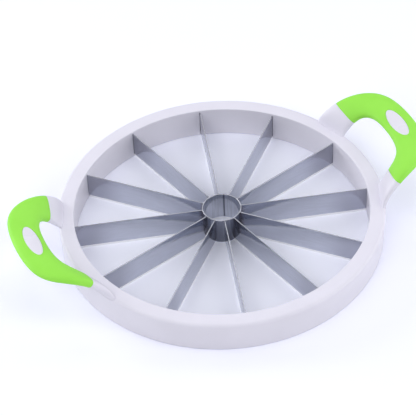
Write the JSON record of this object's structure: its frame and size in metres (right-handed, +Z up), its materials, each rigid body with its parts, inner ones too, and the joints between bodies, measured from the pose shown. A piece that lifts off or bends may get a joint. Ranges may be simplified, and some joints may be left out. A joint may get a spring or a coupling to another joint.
{
  "type": "watermelon slicer",
  "caption": "Round press-through melon slicer: flat steel blades run from a core tube to a deep plastic ring with two raised loop handles and soft grips.",
  "frame": {"origin": "Middle of the ring at table height, which is the bottom centre of the part's box.", "axes": "+Z up, +X along the line through the two handles, +Y across them; blades lie between the axes, half a pitch off X."},
  "size_m": [0.3798, 0.2898, 0.0615],
  "materials": {
    "white_plastic": "moulded satin plastic with a faint cool tint",
    "base_plastic": "moulded satin plastic",
    "blade_steel": "brushed along the blade, ground bevel at the lower edge",
    "tube_steel": "rolled strip with a welded seam",
    "green_grip": "soft matt overmoulding",
    "oval_plastic": "smooth moulded inset",
    "screw_steel": "plain stainless"
  },
  "bodies": {
    "root": {"upper_ring": "white_plastic", "lower_ring": "base_plastic", "blade_01": "blade_steel", "blade_02": "blade_steel", "blade_03": "blade_steel", "blade_04": "blade_steel", "blade_05": "blade_steel", "blade_06": "blade_steel", "blade_07": "blade_steel", "blade_08": "blade_steel", "blade_09": "blade_steel", "blade_10": "blade_steel", "blade_11": "blade_steel", "blade_12": "blade_steel", "core_tube": "tube_steel", "handle_frame_left": "white_plastic", "handle_frame_right": "white_plastic", "grip_left": "green_grip", "grip_right": "green_grip", "oval_inset_left": "oval_plastic", "oval_inset_right": "oval_plastic", "base_screws": "screw_steel"}
  },
  "joints": []
}
